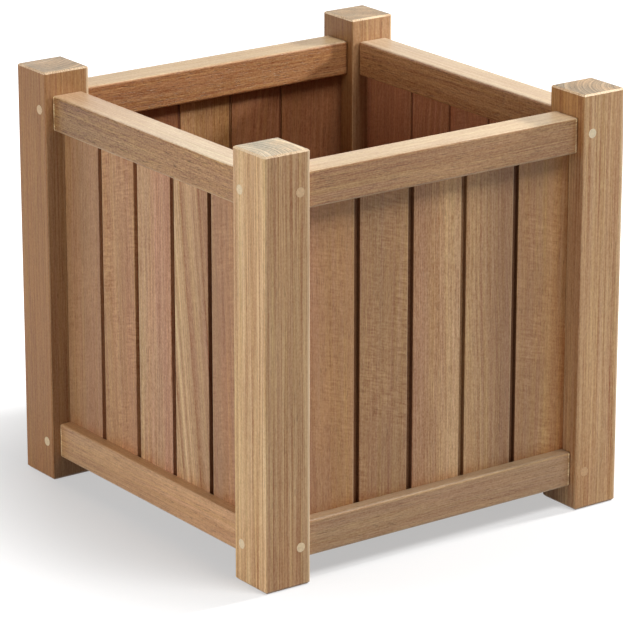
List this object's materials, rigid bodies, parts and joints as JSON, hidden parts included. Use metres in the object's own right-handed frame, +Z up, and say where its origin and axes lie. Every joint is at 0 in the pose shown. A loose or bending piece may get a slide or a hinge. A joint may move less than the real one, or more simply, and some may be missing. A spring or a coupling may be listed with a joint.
{
  "type": "wooden planter box",
  "caption": "Square hardwood floor planter: corner posts, pegged rails, tongued upright boards between them and a slatted floor with drainage gaps inside.",
  "frame": {"origin": "middle of the footprint, on the ground under the posts", "axes": "+Z up; +X and +Y run square to the sides, with the front side facing -Y"},
  "size_m": [0.5, 0.5, 0.5],
  "materials": {
    "post_wood": "oiled hardwood, fine sawn and sanded",
    "rail_wood": "oiled hardwood, fine sawn and sanded",
    "board_wood": "oiled hardwood, planed",
    "peg_wood": "pale dowel, cut flush",
    "floor_wood": "sawn hardwood",
    "screw_steel": "stainless"
  },
  "bodies": {
    "root": {"post_front_left": "post_wood", "post_front_right": "post_wood", "post_rear_left": "post_wood", "post_rear_right": "post_wood", "top_rail_front": "rail_wood", "top_rail_right": "rail_wood", "top_rail_rear": "rail_wood", "top_rail_left": "rail_wood", "bottom_rail_front": "rail_wood", "bottom_rail_right": "rail_wood", "bottom_rail_rear": "rail_wood", "bottom_rail_left": "rail_wood", "board_front_1": "board_wood", "board_front_2": "board_wood", "board_front_3": "board_wood", "board_front_4": "board_wood", "board_front_5": "board_wood", "board_right_1": "board_wood", "board_right_2": "board_wood", "board_right_3": "board_wood", "board_right_4": "board_wood", "board_right_5": "board_wood", "board_rear_1": "board_wood", "board_rear_2": "board_wood", "board_rear_3": "board_wood", "board_rear_4": "board_wood", "board_rear_5": "board_wood", "board_left_1": "board_wood", "board_left_2": "board_wood", "board_left_3": "board_wood", "board_left_4": "board_wood", "board_left_5": "board_wood", "pegs_front_left": "peg_wood", "pegs_front_right": "peg_wood", "pegs_rear_left": "peg_wood", "pegs_rear_right": "peg_wood", "floor_bearer_front": "floor_wood", "floor_bearer_rear": "floor_wood", "floor_slat_1": "floor_wood", "floor_slat_2": "floor_wood", "floor_slat_3": "floor_wood", "floor_slat_4": "floor_wood", "floor_slat_5": "floor_wood", "bearer_screws": "screw_steel", "floor_screws": "screw_steel"}
  },
  "joints": []
}
